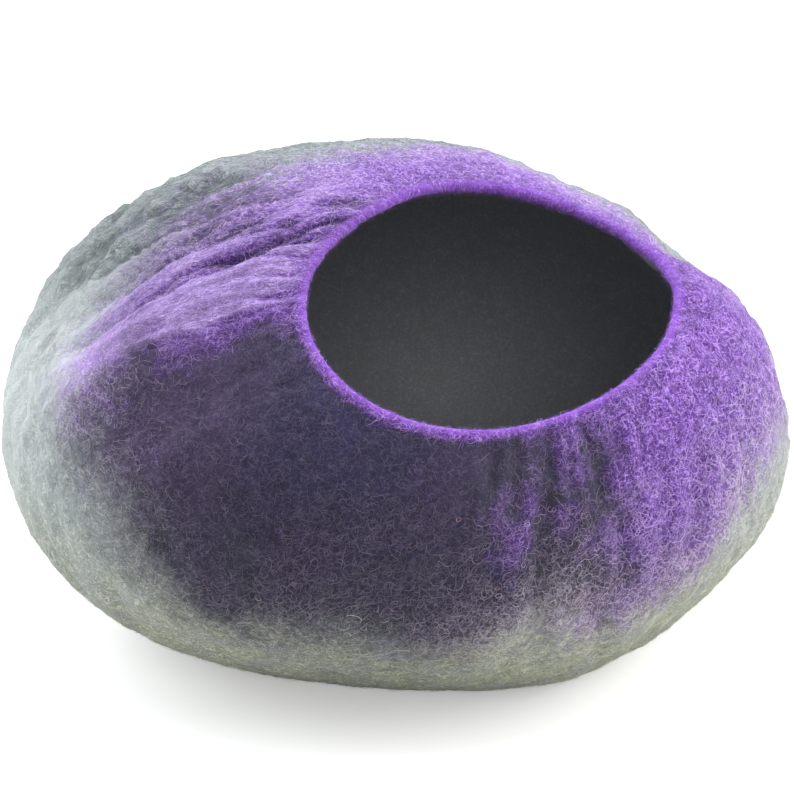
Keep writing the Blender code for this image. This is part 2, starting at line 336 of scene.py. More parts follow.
def between(turn, a, b, c, d):  # 0 outside the turns a to d and 1 from b to c
    degrees = np.degrees(turn) % 360
    return smoothstep(degrees, a, b) * (1 - smoothstep(degrees, c, d))


def atLeast(lowest, share):  # the share, squeezed into the span from the lowest to 1
    return lowest + (1 - lowest) * share


def lumpHeight(point, lumps, seed):
    return sum(height * softNoise(point, size, seed + i) for i, (size, height) in enumerate(lumps))


def ridgeHeight(points, seed):
    ridges = [height * (1 - 2 * np.abs(softNoise(points, width, seed + i)))
              for i, (width, height) in enumerate(skin["combed"])]
    return sum(ridges)


def fineRelief(point, turn, run):  # the felt's lumps and combed ridges together, and the ridges alone
    share = combing(point, turn)
    combed = ridgeHeight(combPoints(point), 31) * share
    combed = combed + ridgeHeight(streakPoints(point, turn, run), 41) * skin["combedElsewhere"] * (1 - share)
    lift = lumpHeight(point, skin["lumps"], 11) + combed
    calm = 1 - skin["slateCalm"] * slateShare(point, run, turn) * (1 - share)
    calm = calm * atLeast(skin["rimRelief"], smoothstep(run, 0, skin["calmRim"]))
    return lift * calm, combed * calm


def runAlong(rows):  # length along each column, row by row
    steps = np.linalg.norm(np.diff(rows, axis=0), axis=-1)
    return np.concatenate([np.zeros((1, rows.shape[1])), np.cumsum(steps, axis=0)])


def patchShare(points, patches):
    way = unit(points - np.array([0.0, 0.0, body["middleHeight"]]))
    total = 0.0
    for azimuth, elevation, spread, amount in patches:
        off = np.degrees(np.arccos(np.clip(way @ direction(azimuth, elevation), -1, 1)))
        total = total + amount * np.exp(-(off / spread) ** 2)
    return total


# Dark slate wool, and painted shade on the wall under the left shoulder and round the front.
def slateShare(points, run, turn):
    leaning = turn + radians(skin["slateLean"]) * smoothstep(run, *skin["leanRuns"]) * (turn < 4)
    total = skin["slateAlong"] * between(leaning, *skin["slateTurns"])
    total = total + patchShare(points, skin["slatePatches"])
    lower = smoothstep(run - violetEnd(turn), *skin["endRuns"]) * between(turn, *skin["endTurns"])
    total = total + skin["slateAtEnd"] * lower
    return np.clip(total, 0, 1) * smoothstep(run, *skin["slateFree"])


def violetEnd(turn):
    ends = skin["violetEnds"]
    at = [t for t, _ in ends] + [ends[0][0] + 360]
    run = [r for _, r in ends] + [ends[0][1]]
    return np.interp(np.degrees(turn) % 360, at, run)


turns = np.radians(np.concatenate([np.linspace(a, b, n, endpoint=False) for a, b, n in skin["sectors"]]))
shares = {
    side: skin["capShare"] * np.linspace(0, 1, skin[side]) ** skin["crowding"]
    for side in ("outerRows", "innerRows")
}


def outerSkin():
    turn, share = np.meshgrid(turns, shares["outerRows"])
    way = wayAt(turn, share)
    base, normal = bodyPoint(way), bodyNormal(way)
    run = runAlong(base)
    foot = smoothstep(base[..., 2], 0, folds["foot"])
    broad = foldHeight(way, folds["main"] + rowFolds()) * foot
    bare = base + normal * broad[..., None]
    relief, ridges = fineRelief(base, turn, run)
    creases = foldHeight(way, folds["small"])
    fine = (creases + relief) * foot
    point = bare + normal * fine[..., None]
    point[..., 2] = np.maximum(point[..., 2], 0)
    combed = combing(base, turn)
    # the crest value, from the creases' painted shade to the crests' painted highlight
    crest = creases + ridges - skin["crestMiddle"] * combed + skin["crestOfFolds"] * broad
    crest = crest * atLeast(skin["crestElsewhere"], combed)
    crest = 0.5 + crest * foot / skin["crestLift"]
    crest = np.clip(crest + skin["ridgeCrest"] * between(turn, *skin["ridgeTurns"]), 0, 1)
    narrow = [fold for fold in folds["main"] if fold[4] < folds["broad"]]
    # the narrow grooves' depth, for their painted shade
    groove = np.clip(-foldHeight(way, narrow + folds["small"]) / skin["deepGroove"], 0, 1) * foot
    groove = groove * atLeast(skin["grooveElsewhere"], between(turn, *skin["grooveTurns"]))
    return point, bare, run, turn, groove, crest


def lipRings(edge):
    way = wayAt(turns, np.zeros_like(turns))
    below = bodyPoint(wayAt(turns, np.full_like(turns, skin["nearRim"])))
    out, inward = bodyNormal(way), bodyPoint(way) - below
    inward = unit(inward - out * np.sum(inward * out, axis=-1, keepdims=True))
    half = skin["felt"] / 2
    angles = pi * np.arange(1, skin["lipSteps"] + 1) / skin["lipSteps"]
    return np.stack([edge - out * half + half * (cos(a) * out + sin(a) * inward) for a in angles])


def innerSkin():
    turn, share = np.meshgrid(turns, shares["innerRows"][1:])
    way = wayAt(turn, share)
    base, normal = bodyPoint(way), bodyNormal(way)
    foot = smoothstep(base[..., 2], 0, folds["foot"])
    broad = [fold for fold in folds["main"] if fold[4] >= folds["broad"]]
    lift = (foldHeight(way, broad) + lumpHeight(base, skin["innerLumps"], 51)) * foot - skin["felt"]
    point = base + normal * lift[..., None]
    point[..., 2] = np.maximum(point[..., 2], skin["felt"])
    return point, turn


def feltSheet():  # both faces as one grid of rows, from the base outside over the lip to the base inside
    outer, bare, run, turn, groove, crest = outerSkin()
    lip = lipRings(outer[0])
    inner, innerTurn = innerSkin()
    low, high = bare.min(axis=(0, 1)), bare.max(axis=(0, 1))
    shift = np.array([(low[0] + high[0]) / 2, (low[1] + high[1]) / 2, 0.0])
    points = np.concatenate([outer[::-1], lip, inner]) - shift
    lipTurn = np.broadcast_to(turns, lip.shape[:2])
    turnRows = np.concatenate([turn[::-1], lipTurn, innerTurn])
    lipRun = -runAlong(np.concatenate([outer[:1], lip]))[1:]
    innerRun = lipRun[-1] - runAlong(np.concatenate([lip[-1:], inner]))[1:]
    runRows = np.concatenate([run[::-1], lipRun, innerRun])
    lipMiddle = -pi * skin["felt"] / 4
    flat = np.zeros((len(lip) + len(inner), len(turns)))
    calm = between(turnRows, *skin["calmTurns"])
    soft = skin["softness"] * between(turnRows, *skin["softTurns"]) + skin["calmSoftness"] * calm
    return {
        "points": points,
        "turn": turnRows,
        "run": runRows,
        "past": (runRows - violetEnd(turnRows)) * (1 - soft),
        "streak": streakPoints(points, turnRows, runRows),
        "comb": combPoints(points),
        "combed": combing(points, turnRows),
        "inside": smoothstep(-runRows, *skin["dyedInside"]),
        "slate": slateShare(points, runRows, turnRows),
        "calm": calm,
        **{key: np.clip(patchShare(points, patches), 0, 1) for key, patches in skin["patches"].items()},
        "groove": np.concatenate([groove[::-1], flat]),
        "crest": np.concatenate([crest[::-1], flat + 0.5]),
        "rim": 1 - smoothstep(np.abs(runRows - lipMiddle), *skin["rimBand"]),
        "across": np.broadcast_to(np.linspace(0, 1, len(turns), endpoint=False), turnRows.shape),
        "down": np.broadcast_to(np.linspace(0, 1, len(turnRows))[:, None], turnRows.shape),
        "rimRow": len(outer) - 1,
        "innerRow": len(outer) + len(lip) - 1,
    }


# The sheet's normals, out of both faces, and how far the grid's ways follow the combing.
def gridWays(points):
    across = np.roll(points, -1, axis=1) - np.roll(points, 1, axis=1)
    down = np.gradient(points, axis=0)
    axis = direction(*skin["combAxis"])
    return unit(np.cross(across, down)), np.stack([unit(across) @ axis, unit(down) @ axis], axis=-1)


sheet = feltSheet()
sheet["normals"], sheet["combWay"] = gridWays(sheet["points"])
print("stage: felt laid out,", sheet["points"].shape)


# What colours the wool at each point: its dyes, and painted shade and highlight.
woolShares = ("past", "inside", "slate", "calm", "plum", "ink", "frost", "groove", "crest", "rim")


def addValues(mesh, name, values):  # one float, or one vector, for each vertex
    vector = np.ndim(values) == 2
    layer = mesh.attributes.new(name, "FLOAT_VECTOR" if vector else "FLOAT", "POINT")
    layer.data.foreach_set("vector" if vector else "value", np.asarray(values, np.float32).ravel())


def addObject(name, data):
    made = bpy.data.objects.new(name, data)
    bpy.context.scene.collection.objects.link(made)
    return made


def addMesh(name, points, faces, material):
    mesh = bpy.data.meshes.new(name)
    mesh.from_pydata(points, [], faces)
    mesh.materials.append(material)
    return addObject(name, mesh)


def loopVertices(mesh):
    made = np.zeros(len(mesh.loops), np.int32)
    mesh.loops.foreach_get("vertex_index", made)
    return made


def addAtlas(mesh, places):  # the places on the unit square of each face corner, for baked textures
    layer = mesh.uv_layers.new(name="OFBake")
    layer.data.foreach_set("uv", np.asarray(places, np.float32).ravel())


# Rows of full rings, then rings with half the points, and a fan at each end.
def skinFaces(full, halved, count):
    i, half = np.arange(count), count // 2
    j = np.arange(half)
    after, nextHalf = (i + 1) % count, (j + 1) % half
    faces = []
    for row in range(full - 1):
        a, b = row * count, (row + 1) * count
        faces += np.stack([a + i, a + after, b + after, b + i], axis=1).tolist()
    first, second = (full - 1) * count, full * count
    even, odd, last = first + 2 * j, first + 2 * j + 1, first + (2 * j + 2) % count
    split = ((even, odd, second + j), (odd, second + nextHalf, second + j), (odd, last, second + nextHalf))
    for corners in split:
        faces += np.stack(corners, axis=1).tolist()
    for row in range(halved - 1):
        a, b = second + row * half, second + (row + 1) * half
        faces += np.stack([a + j, a + nextHalf, b + nextHalf, b + j], axis=1).tolist()
    outerMiddle = second + halved * half
    faces += np.stack([after, i, np.full(count, outerMiddle)], axis=1).tolist()
    end = second + (halved - 1) * half
    faces += np.stack([end + j, end + nextHalf, np.full(half, outerMiddle + 1)], axis=1).tolist()
    return faces


def feltSkin(material):
    full = sheet["innerRow"]
    count = len(turns)

    def gather(key):
        rows = sheet[key]
        size = rows.shape[2:]
        parts = [rows[:full].reshape(-1, *size), rows[full:, ::2].reshape(-1, *size)]
        return np.concatenate(parts + [rows[:1].mean(axis=1), rows[-1:].mean(axis=1)])

    halved = len(sheet["points"]) - full
    piece = addMesh("feltSkin", gather("points"), skinFaces(full, halved, count), material)
    corners = loopVertices(piece.data)
    starts = np.zeros(len(piece.data.polygons), np.int32)
    piece.data.polygons.foreach_get("loop_start", starts)
    face = np.searchsorted(starts, np.arange(len(corners)), side="right") - 1
    across, down = gather("across")[corners], gather("down")[corners]
    middle = corners >= len(piece.data.vertices) - 2
    across[middle] = across[starts[face[middle]]]
    wide = np.maximum.reduceat(across, starts) - np.minimum.reduceat(across, starts) > 0.5
    across = (across + (wide[face] & (across < 0.5))) / (1 + 2 / count)
    addAtlas(piece.data, np.stack([across, down], axis=1))
    for key in ("streak", "comb", "combed") + woolShares:
        addValues(piece.data, key, gather(key))
    piece.data.shade_smooth()
    return piece


# Materials. The wool's colours and its web of fibres are groups, shared by the skin and the loose strands.
def put(tree, kind, inputs=None, **settings):  # a node with its settings, and its sockets linked or set
    made = tree.nodes.new(kind)
    for name, value in settings.items():
        setattr(made, name, value)
    for key, value in (inputs or {}).items():
        if isinstance(value, bpy.types.NodeSocket):
            tree.links.new(value, made.inputs[key])
        else:
            made.inputs[key].default_value = value
    return made


def sums(tree, operation, a, b=0.0, c=0.0):
    return put(tree, "ShaderNodeMath", {0: a, 1: b, 2: c}, operation=operation).outputs[0]


def ease(tree, value, low, high, toLow=0.0, toHigh=1.0):
    sockets = {"Value": value, "From Min": low, "From Max": high, "To Min": toLow, "To Max": toHigh}
    return put(tree, "ShaderNodeMapRange", sockets, interpolation_type="SMOOTHSTEP").outputs["Result"]


def less(tree, value, most):  # 1 where the value is 0, and that much less where it is 1
    return sums(tree, "MULTIPLY_ADD", value, -most, 1.0)


def swing(tree, noise, reach):  # noise round 0 instead of round a half
    return sums(tree, "MULTIPLY_ADD", noise, reach, -reach / 2)


def mixValues(tree, share, a, b):
    return put(tree, "ShaderNodeMix", {0: share, 2: a, 3: b}).outputs[0]


def blendColours(tree, share, a, b):
    a = (*a, 1.0) if isinstance(a, tuple) else a
    b = (*b, 1.0) if isinstance(b, tuple) else b
    made = put(tree, "ShaderNodeMix", {0: share, 6: a, 7: b}, data_type="RGBA")
    return made.outputs[2]


def cloud(tree, where, scale, detail, roughness, cut, distortion=0.0):
    sockets = {"Vector": where, "W": cut, "Scale": scale, "Detail": detail, "Roughness": roughness,
               "Distortion": distortion}
    return put(tree, "ShaderNodeTexNoise", sockets, noise_dimensions="4D").outputs["Fac"]


def newGroup(name, vectors, floats, outputs):
    group = bpy.data.node_groups.new(name, "ShaderNodeTree")
    for label in vectors:
        group.interface.new_socket(label, in_out="INPUT", socket_type="NodeSocketVector")
    for label, value in floats.items():
        socket = group.interface.new_socket(label, in_out="INPUT", socket_type="NodeSocketFloat")
        socket.default_value = value
    for label, kind in outputs.items():
        group.interface.new_socket(label, in_out="OUTPUT", socket_type="NodeSocket" + kind)
    return group, group.nodes.new("NodeGroupInput").outputs, group.nodes.new("NodeGroupOutput").inputs


# Colours of the wool: its dyes, with painted shade and highlight in the slate, groove, rim and inside
# colours.
dye = {
    "violetDeep": (0.044, 0.018, 0.105),
    "violet": (0.188, 0.072, 0.385),
    "violetBright": (0.465, 0.265, 0.79),
    "rimViolet": (0.26, 0.09, 0.54),
    # slate colours: slate wool, darkened further with painted shade
    "slateDeep": (0.018, 0.018, 0.034),
    "slate": (0.041, 0.037, 0.067),
    "slateBright": (0.088, 0.074, 0.128),
    "slateGreen": (0.04, 0.047, 0.052),
    "slatePlum": (0.072, 0.04, 0.104),
    "slateInk": (0.041, 0.034, 0.098),
    "groove": ((0.085, 0.054, 0.138), (0.046, 0.042, 0.066)),  # painted shade in the grooves, in violet wool and in slate
    "grey": ((0.255, 0.288, 0.29), (0.35, 0.385, 0.382), (0.53, 0.565, 0.57)),
    "greyHigh": ((0.075, 0.098, 0.102), (0.165, 0.195, 0.2),
                 (0.33, 0.372, 0.38)),  # the darker grey of the upper back
    "sage": ((0.15, 0.16, 0.112), (0.325, 0.34, 0.245), (0.73, 0.745, 0.575)),
    # charcoal wool inside, painted paler to stand in for the light reaching in
    "charcoal": ((0.35, 0.356, 0.368), (0.47, 0.48, 0.51)),
    "pale": (0.68, 0.47, 0.9),
    "paleSlate": (0.138, 0.116, 0.172),
    "paleMixed": (0.66, 0.55, 0.69),  # where the violet wool thins out over the grey, low on the felt
    "paleRoof": (0.6, 0.48, 0.77),  # and on the roof
    "paleGrey": (0.56, 0.59, 0.575),
    "stray": (0.48, 0.26, 0.31),
}


# scale, detail, roughness of each noise, and the cut through it
noises = {
    "wander": (14.0, 3.0, 0.5, 0.0),
    "wisps": (150.0, 3.0, 0.65, 3.0),
    "grains": (240.0, 2.0, 0.6, 21.0),
    "mottle": (55.0, 6.0, 0.66, 7.0),
    "greenish": (24.0, 3.0, 0.5, 31.0),
    "tufts": (460.0, 2.0, 0.6, 12.0),
    "combedTufts": (420.0, 3.0, 0.7, 15.0),
}

# from and to of each smooth step, and its ends' values where they aren't 0 and 1
steps = {
    "grey": (-0.026, 0.024), "patch": (0.4, 0.62, 0.5, 0.0),
    "crease": (0.08, 0.46, 0.85, 0.0), "creaseShade": (0.05, 0.46, 0.66, 0.0),
    "thin": (-0.065, 0.0, 0.0, 0.8), "roof": (0.11, 0.2),
    "web": (0.26, 1.0), "crestWeb": (0.54, 0.9, 0.0, 0.38),
    "crestPale": (0.6, 0.98, 0.0, 0.6), "slated": (0.05, 0.9),
    "greenish": (0.47, 0.62), "groove": (0.1, 0.95, 0.0, 0.75),
    "sageFoot": (0.03, 0.17, 1.0, 0.0), "sagePatch": (0.25, 0.6),
    "upper": (0.18, 0.26, 0.0, 0.85), "webTufts": (0.34, 0.6, 0.55, 1.0),
    "pits": (0.36, 0.54, 1.0, 0.0), "paleSlate": (0.1, 0.9),
    "thinning": (-0.105, -0.01), "paleTone": (0.45, 0.95, 0.0, 0.85),
}

wool = {
    # metres by which the violet's end wanders and frays
    "wander": 0.05,
    "wisps": 0.07,
    "grains": 0.054,
    "calmFray": 0.65,  # less of it where the felt is calm
    "calmThin": 0.85,
    "thinWeb": 0.28,  # more pale fibres where the violet thins out
    # on the left flank's pale wool and painted light
    "frostWeb": 0.24,
    "frostPale": 0.65,
    "frostUpper": 0.8,
    "slateMottle": 1.8,
    "slateGroove": 0.55,
    "rimWeb": 0.45,
    "rimShare": 0.85,
    # how dark the painted shade in the pits between the tufts is
    "violetPits": 0.8,
    "slatePits": 0.3,
    "greyPits": 0.5,
    "sagePits": 0.6,
}


# The wool's dyes, with painted shade in creases, pits, grooves and on the front wall, and painted highlight
# on crests, the lip and the left flank.
def dyeGroup():
    names = ("Combed",) + tuple(name.title() for name in woolShares if name != "crest") + ("Web", "Pit")
    floats = {**dict.fromkeys(names, 0.0), "Crest": 0.5}
    outputs = {"Color": "Color", "Greyness": "Float"}
    group, given, out = newGroup("woolDye", ("Streak", "Comb"), floats, outputs)
    blend, noise = partial(blendColours, group), partial(cloud, group)
    plus, times, most = [partial(sums, group, kind) for kind in ("ADD", "MULTIPLY", "MAXIMUM")]

    def stepped(value, name):
        return ease(group, value, *steps[name])

    place = put(group, "ShaderNodeTexCoord").outputs["Object"]
    wander = swing(group, noise(place, *noises["wander"]), wool["wander"])
    wisps = [noise(given[key], *noises["wisps"]) for key in ("Streak", "Comb")]
    wisps = swing(group, mixValues(group, given["Combed"], *wisps), wool["wisps"])
    grains = swing(group, noise(place, *noises["grains"]), wool["grains"])
    ragged = times(plus(wisps, grains), less(group, given["Calm"], wool["calmFray"]))
    edge = plus(plus(given["Past"], wander), ragged)
    greyness = stepped(edge, "grey")
    mottle = noise(place, *noises["mottle"])
    # mottled patches, and painted shade in the creases
    creased = most(stepped(mottle, "patch"), stepped(given["Crest"], "crease"))
    height = put(group, "ShaderNodeSeparateXYZ", {0: place}).outputs["Z"]

    # paler fibres cross the violet where it thins out; the crests get painted highlight and the creases
    # painted shade
    thin = times(stepped(given["Past"], "thin"), less(group, given["Calm"], wool["calmThin"]))
    thinned = blend(stepped(height, "roof"), dye["paleMixed"], dye["paleRoof"])
    more = sums(group, "MULTIPLY_ADD", thin, wool["thinWeb"], stepped(given["Crest"], "crestWeb"))
    # more pale fibres on the left flank's pale wool and painted light
    more = sums(group, "MULTIPLY_ADD", given["Frost"], wool["frostWeb"], more)
    web = sums(group, "MINIMUM", 1.0, plus(stepped(given["Web"], "web"), more))
    shaded = stepped(given["Crest"], "creaseShade")
    high = most(thin, stepped(given["Crest"], "crestPale"))
    # painted light and pale wool on the left flank, in the bright share
    high = most(high, times(given["Frost"], wool["frostPale"]))

    def fleece(deep, mid, bright, pits=1.0):
        # painted shade in the pits and creases, and mottled patches
        dark = most(times(given["Pit"], pits), creased)
        return blend(shaded, blend(web, blend(dark, mid, deep), bright), deep)

    # slate wool and painted shade on the front wall, spreading into its grooves
    slateEdge = plus(given["Slate"], swing(group, mottle, wool["slateMottle"]))
    slateEdge = plus(slateEdge, times(given["Groove"], wool["slateGroove"]))
    slated = stepped(slateEdge, "slated")
    greenish = stepped(noise(place, *noises["greenish"]), "greenish")
    slate = blend(greenish, dye["slate"], dye["slateGreen"])
    slate = blend(given["Plum"], slate, dye["slatePlum"])
    slate = blend(given["Ink"], slate, dye["slateInk"])
    slatePale = blend(thin, dye["slateBright"], thinned)
    slateWool = fleece(dye["slateDeep"], slate, slatePale, wool["slatePits"])
    violetPale = blend(high, dye["violetBright"], thinned)
    violetWool = fleece(dye["violetDeep"], dye["violet"], violetPale, wool["violetPits"])
    violet = blend(slated, violetWool, slateWool)
    # painted shade in the grooves
    violet = blend(stepped(given["Groove"], "groove"), violet, blend(slated, *dye["groove"]))
    # a painted highlight of brighter violet along the lip
    rim = blend(times(web, wool["rimWeb"]), dye["rimViolet"], dye["violetBright"])
    violet = blend(times(given["Rim"], wool["rimShare"]), violet, rim)
    grey = fleece(*dye["grey"], wool["greyPits"])
    sage = fleece(*dye["sage"], wool["sagePits"])
    grey = blend(times(stepped(height, "sageFoot"), stepped(mottle, "sagePatch")), grey, sage)
    # less of the darker upper grey where the left flank has pale wool and painted light
    upper = times(stepped(height, "upper"), less(group, given["Frost"], wool["frostUpper"]))
    grey = blend(upper, grey, fleece(*dye["greyHigh"]))
    outside = blend(greyness, violet, grey)
    # the inside's charcoal, painted paler to stand in for light
    group.links.new(blend(given["Inside"], outside, blend(web, *dye["charcoal"])), out["Color"])
    group.links.new(greyness, out["Greyness"])
    return group


fibres = {
    # scale of each layer of crossing fibres, its cut and its fibres' width
    "crossing": [(70.0, 1.0, 0.014), (86.0, 5.0, 0.019), (125.0, 9.0, 0.027), (230.0, 21.0, 0.04)],
    "along": (520.0, 2.0, 0.07),
    "noise": (1.0, 0.5),  # detail and roughness
    "curl": 0.9,
    "shorter": (1.0, 1.0, 2.2),  # the combed fibres are shorter than the streaks
    "crossingCombed": 0.7,
    "tuftHeights": (1.1, 2.8),  # elsewhere, and where combed
    "calmHeight": 0.6,
}


def webGroup():  # thin crossing fibres, the pits between tufts of them, and the tufts' height
    group, given, out = newGroup("feltedWeb", ("Comb",), {"Combed": 0.0, "Calm": 0.0},
                                 {"Web": "Float", "Pit": "Float", "Height": "Float"})
    times, most = partial(sums, group, "MULTIPLY"), partial(sums, group, "MAXIMUM")
    place = put(group, "ShaderNodeTexCoord").outputs["Object"]
    streak = {0: given["Comb"], 1: fibres["shorter"]}
    streak = put(group, "ShaderNodeVectorMath", streak, operation="MULTIPLY").outputs[0]

    def threads(where, scale, cut, width):
        level = cloud(group, where, scale, *fibres["noise"], cut, fibres["curl"])
        off = sums(group, "ABSOLUTE", sums(group, "SUBTRACT", level, 0.5))
        return ease(group, off, 0.0, width, 1.0, 0.0)

    crossing = reduce(most, [threads(place, *layer) for layer in fibres["crossing"]])
    along = most(threads(streak, *fibres["along"]), times(crossing, fibres["crossingCombed"]))
    web = mixValues(group, given["Combed"], crossing, along)
    tufts = [cloud(group, place, *noises["tufts"]), cloud(group, streak, *noises["combedTufts"])]
    tufts = mixValues(group, given["Combed"], *tufts)
    height = times(tufts, mixValues(group, given["Combed"], *fibres["tuftHeights"]))
    height = times(height, less(group, given["Calm"], fibres["calmHeight"]))
    group.links.new(times(web, ease(group, tufts, *steps["webTufts"])), out["Web"])
    group.links.new(ease(group, tufts, *steps["pits"]), out["Pit"])
    group.links.new(height, out["Height"])
    return group


woolDye = dyeGroup()
feltedWeb = webGroup()


def principled(name, roughness, sheen=0.0, specular=0.25):
    material = bpy.data.materials.new(name)
    material.use_nodes = True
    shader = material.node_tree.nodes["Principled BSDF"]
    values = {"Roughness": roughness, "Specular IOR Level": specular, "Sheen Weight": sheen}
    for key, value in {**values, "Sheen Roughness": 0.5}.items():
        shader.inputs[key].default_value = value
    return material, material.node_tree, shader


def attribute(tree, name, output="Fac"):
    return put(tree, "ShaderNodeAttribute", attribute_name=name).outputs[output]


def woolInputs(tree):  # the felt's own values, for the groups
    inputs = {key.title(): attribute(tree, key, "Vector") for key in ("streak", "comb")}
    inputs.update({key.title(): attribute(tree, key) for key in ("combed",) + woolShares})
    return inputs


def feltMaterial():
    material, tree, shader = principled("felt", 0.95, sheen=0.14, specular=0.12)
    given = woolInputs(tree)
    webInputs = {"Comb": given["Comb"], "Combed": given["Combed"], "Calm": given["Slate"]}
    web = put(tree, "ShaderNodeGroup", webInputs, node_tree=feltedWeb).outputs
    given.update({"Web": web["Web"], "Pit": web["Pit"]})
    dyed = put(tree, "ShaderNodeGroup", given, node_tree=woolDye).outputs
    tree.links.new(dyed["Color"], shader.inputs["Base Color"])
    bump = put(tree, "ShaderNodeBump", {"Height": web["Height"], "Strength": 0.9, "Distance": 0.0014})
    tree.links.new(bump.outputs["Normal"], shader.inputs["Normal"])
    return material


loose = {
    "calmThinning": 0.7,
    # how much rarer pale strands are in the grey wool, on the calm felt and in the grooves
    "grey": 0.45,
    "calm": 0.35,
    "groove": 0.6,
    "strayShare": 0.8,
    "headingSpread": 0.5,  # share of a kind's own spread
    "steered": 0.3,  # the combing turns the strands from this share up
    "past": 0.012,  # metres by which a strand's dye runs ahead of the felt's
    "arch": (0.6, 1.4),  # where along the strand it stands highest
    "clear": 0.0001,
    "waver": 0.6,
    "roll": 0.5,
    "tip": 0.35,  # width of its ends
    "taper": (0.12, 0.88),
    "paleTones": (0.55, 1.0),
    "plainTones": (0.0, 0.6),
}


def strandMaterial():
    material, tree, shader = principled("looseWool", 0.8, sheen=0.1, specular=0.2)
    given = woolInputs(tree)
    tone = attribute(tree, "tone")
    dyed = put(tree, "ShaderNodeGroup", {**given, "Web": tone}, node_tree=woolDye).outputs
    # pale strands are darker over the slate wool and its painted shade
    pale = blendColours(tree, ease(tree, given["Slate"], *steps["paleSlate"]), dye["pale"], dye["paleSlate"])
    thinning = sums(tree, "MULTIPLY", ease(tree, given["Past"], *steps["thinning"]),
                    less(tree, given["Calm"], loose["calmThinning"]))
    pale = blendColours(tree, thinning, pale, dye["paleMixed"])
    pale = blendColours(tree, dyed["Greyness"], pale, dye["paleGrey"])
    share = sums(tree, "MULTIPLY", ease(tree, tone, *steps["paleTone"]), less(tree, given["Inside"], 1.0))
    rarer = {"grey": dyed["Greyness"], "calm": given["Calm"], "groove": given["Groove"]}
    for key, value in rarer.items():
        share = sums(tree, "MULTIPLY", share, less(tree, value, loose[key]))
    colour = blendColours(tree, share, dyed["Color"], pale)
    colour = blendColours(tree, attribute(tree, "stray"), colour, dye["stray"])
    tree.links.new(colour, shader.inputs["Base Color"])
    return material


felt = feltMaterial()
looseWool = strandMaterial()
feltSkinPiece = feltSkin(felt)
print("stage: felt skin,", len(feltSkinPiece.data.polygons), "faces")


# Loose strands of wool on the felt, each a thin curled ribbon that follows the sheet.
# The spread is of the heading in degrees, where combed and elsewhere; pale and stray are shares.
strandColumns = ("count", "points", "length", "width", "spread", "curl", "lift",
                 "runs", "turns", "pale", "stray", "seed")
strandKinds = {
    "roofStrands": (24000, 5, (0.0045, 0.0105), (0.00014, 0.00026), (42, 180), 28, (0.0002, 0.001),
                    (0.000, 0.2), (60, 225), 0.4, 0.002, 3),
    "frontStrands": (17500, 6, (0.0045, 0.01), (0.00012, 0.00022), (60, 180), 34, (0.0002, 0.001),
                     (0.000, 0.22), (225, 400), 0.55, 0.004, 5),
    "backStrands": (18000, 5, (0.004, 0.01), (0.00014, 0.00026), (30, 180), 34, (0.0003, 0.001),
                    (0.18, 0.62), (0, 360), 0.3, 0.001, 7),
    "curlyStrands": (3000, 12, (0.006, 0.012), (0.00011, 0.00018), (180, 180), 38, (0.0006, 0.0022),
                     (-0.004, 0.5), (0, 360), 1.0, 0.012, 9),
    "crossingStrands": (4200, 12, (0.008, 0.016), (0.00019, 0.00033), (180, 180), 26, (0.0005, 0.0018),
                        (0.05, 0.18), (215, 335), 1.0, 0.004, 19),
    "rimStrands": (5000, 6, (0.003, 0.008), (0.00012, 0.0002), (180, 180), 32, (0.0003, 0.0018),
                   (-0.014, 0.008), (0, 360), 0.2, 0.0, 13),
    "cabinStrands": (4500, 6, (0.005, 0.012), (0.00016, 0.00028), (180, 180), 30, (0.0003, 0.0014),
                     (-0.6, -0.01), (0, 360), 0.0, 0.0, 17),
}


def sample(rows, u, v):  # the sheet's values between its grid's points; u goes round, v down the rows
    count, height = rows.shape[1], rows.shape[0]
    v = np.clip(v, 0, height - 1.001)
    i, j = np.floor(u).astype(int), np.floor(v).astype(int)
    du, dv = u - i, v - j
    if rows.ndim == 3:
        du, dv = du[:, None], dv[:, None]
    a, b = rows[j, i % count], rows[j, (i + 1) % count]
    c, d = rows[j + 1, i % count], rows[j + 1, (i + 1) % count]
    return (a * (1 - du) + b * du) * (1 - dv) + (c * (1 - du) + d * du) * dv


def cellSizes():
    points = sheet["points"]
    across = np.linalg.norm(np.roll(points, -1, axis=1) - points, axis=-1)
    down = np.linalg.norm(np.gradient(points, axis=0), axis=-1)
    return across, down


acrossSize, downSize = cellSizes()


def rootCells(kind, rng):
    low, high = kind["runs"]
    first, last = kind["turns"]
    degrees = np.degrees(sheet["turn"])
    away = (degrees - first) % 360
    inside = (sheet["run"] >= low) & (sheet["run"] <= high) & ((away <= last - first) | (last - first >= 360))
    inside &= ~((sheet["points"][..., 2] < 0.004) & (np.arange(len(degrees))[:, None] < sheet["rimRow"]))
    weight = (acrossSize * downSize * inside)[:-1]
    weight = weight.ravel() / weight.sum()
    return rng.choice(weight.size, kind["count"], p=weight)


